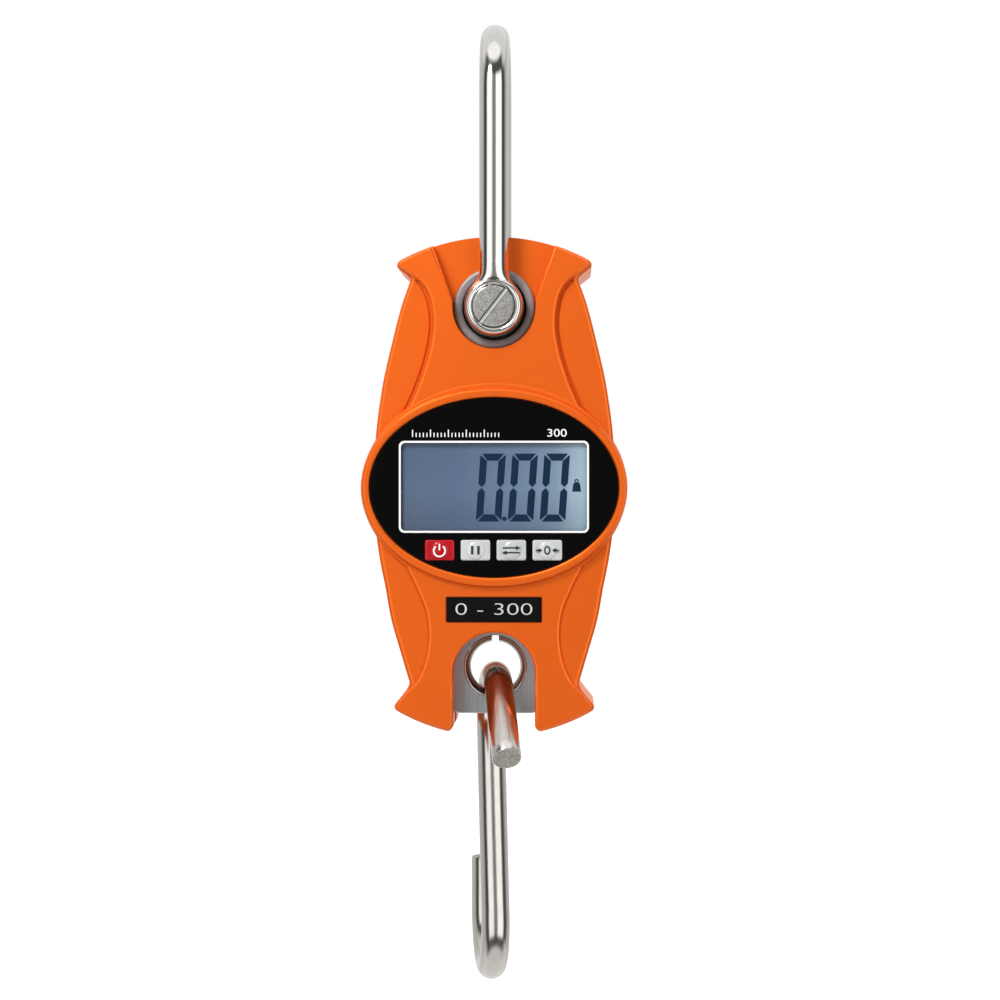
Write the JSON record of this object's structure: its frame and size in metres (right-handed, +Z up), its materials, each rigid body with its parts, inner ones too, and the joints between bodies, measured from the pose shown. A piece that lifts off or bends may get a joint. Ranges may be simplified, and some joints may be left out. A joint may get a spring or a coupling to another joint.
{
  "type": "digital hanging scale",
  "caption": "Hanging digital scale with a U-shackle on top, a two-part metal housing with an oval display, four keys, and an S-hook in a ring below.",
  "frame": {"origin": "inside top of the shackle, where the scale hangs", "axes": "+Z up, the display faces -Y, +X to the right seen from the front"},
  "size_m": [0.073, 0.0617, 0.2691],
  "materials": {
    "orange_paint": "satin",
    "polished_steel": "polished",
    "satin_steel": "satin",
    "cell_aluminium": "satin",
    "black_gloss_plastic": "gloss",
    "black_matte_plastic": "matte",
    "black_rubber": "matte",
    "clear_window": "gloss",
    "lcd_blue_grey": "gloss",
    "backlight_white": "matte",
    "red_key_plastic": "gloss",
    "silver_key_plastic": "satin",
    "green_board": "matte",
    "chip_epoxy": "matte",
    "zinc_screw": "satin",
    "nickel_contact": "polished",
    "gauge_foil": "satin",
    "red_wire": "matte",
    "black_wire": "matte",
    "grey_cable": "matte",
    "battery_sleeve": "satin",
    "label_black": "satin"
  },
  "bodies": {
    "shackle": {"shackle_bow": "polished_steel", "shackle_pin": "polished_steel"},
    "housing": {"front_cover": "orange_paint", "rear_cover": "orange_paint", "eye_ring_front": "satin_steel", "eye_ring_rear": "satin_steel", "load_cell": "cell_aluminium", "display_panel": "black_gloss_plastic", "battery_tray": "black_matte_plastic", "key_switch_1": "black_matte_plastic", "key_switch_2": "black_matte_plastic", "key_switch_3": "black_matte_plastic", "key_switch_4": "black_matte_plastic", "cover_gasket": "black_rubber", "pin_seal_front": "black_rubber", "pin_seal_rear": "black_rubber", "zebra_strip": "black_rubber", "display_window": "clear_window", "lcd_glass": "lcd_blue_grey", "lcd_backlight": "backlight_white", "main_board": "green_board", "controller_chip": "chip_epoxy", "converter_chip": "chip_epoxy", "buzzer": "chip_epoxy", "board_screw_1": "zinc_screw", "board_screw_2": "zinc_screw", "cell_screw_1": "zinc_screw", "cell_screw_2": "zinc_screw", "cover_screw_1": "zinc_screw", "cover_screw_2": "zinc_screw", "cover_screw_3": "zinc_screw", "cover_screw_4": "zinc_screw", "cover_screw_5": "zinc_screw", "cover_screw_6": "zinc_screw", "contact_positive": "nickel_contact", "contact_link_upper": "nickel_contact", "contact_link_lower": "nickel_contact", "contact_negative": "nickel_contact", "contact_spring_1": "nickel_contact", "contact_spring_2": "nickel_contact", "contact_spring_3": "nickel_contact", "strain_gauge_front": "gauge_foil", "strain_gauge_rear": "gauge_foil", "battery_lead_red": "red_wire", "battery_lead_black": "black_wire", "gauge_cable": "grey_cable", "battery_1": "battery_sleeve", "battery_2": "battery_sleeve", "battery_3": "battery_sleeve", "capacity_label": "label_black"},
    "hook_liner": {"hook_liner": "polished_steel"},
    "hook": {"s_hook": "polished_steel"},
    "power_key": {"power_key": "red_key_plastic"},
    "hold_key": {"hold_key": "silver_key_plastic"},
    "unit_key": {"unit_key": "silver_key_plastic"},
    "tare_key": {"tare_key": "silver_key_plastic"},
    "battery_door": {"battery_door": "orange_paint"},
    "door_screw": {"battery_door_screw": "zinc_screw"}
  },
  "joints": [
    {"name": "shackle_swing", "type": "hinge", "parent": "shackle", "child": "housing", "pos_m": [0, 0, -0.0718], "axis": [0, 1, 0], "range_deg": [-33, 33]},
    {"name": "hook_side_swing", "type": "hinge", "parent": "housing", "child": "hook_liner", "pos_m": [0, 0, -0.171], "axis": [0, 1, 0], "range_deg": [-14, 14]},
    {"name": "hook_fore_aft_swing", "type": "hinge", "parent": "hook_liner", "child": "hook", "pos_m": [0, 0, -0.1866], "axis": [0.9903, 0.1392, 0], "range_deg": [-20, 45]},
    {"name": "power_key_press", "type": "slide", "parent": "housing", "child": "power_key", "axis": [0, 1, 0], "range_m": [0, 0.0005], "stiffness_N_per_m": 2500},
    {"name": "hold_key_press", "type": "slide", "parent": "housing", "child": "hold_key", "axis": [0, 1, 0], "range_m": [0, 0.0005], "stiffness_N_per_m": 2500},
    {"name": "unit_key_press", "type": "slide", "parent": "housing", "child": "unit_key", "axis": [0, 1, 0], "range_m": [0, 0.0005], "stiffness_N_per_m": 2500},
    {"name": "tare_key_press", "type": "slide", "parent": "housing", "child": "tare_key", "axis": [0, 1, 0], "range_m": [0, 0.0005], "stiffness_N_per_m": 2500},
    {"name": "battery_door_hinge", "type": "hinge", "parent": "housing", "child": "battery_door", "pos_m": [0, 0.0172, -0.0982], "axis": [1, 0, 0], "range_deg": [0, 70]},
    {"name": "door_screw_turn", "type": "hinge", "parent": "battery_door", "child": "door_screw", "pos_m": [0, 0.0171, -0.1566], "axis": [0, 1, 0], "range_deg": [0, 90]}
  ]
}
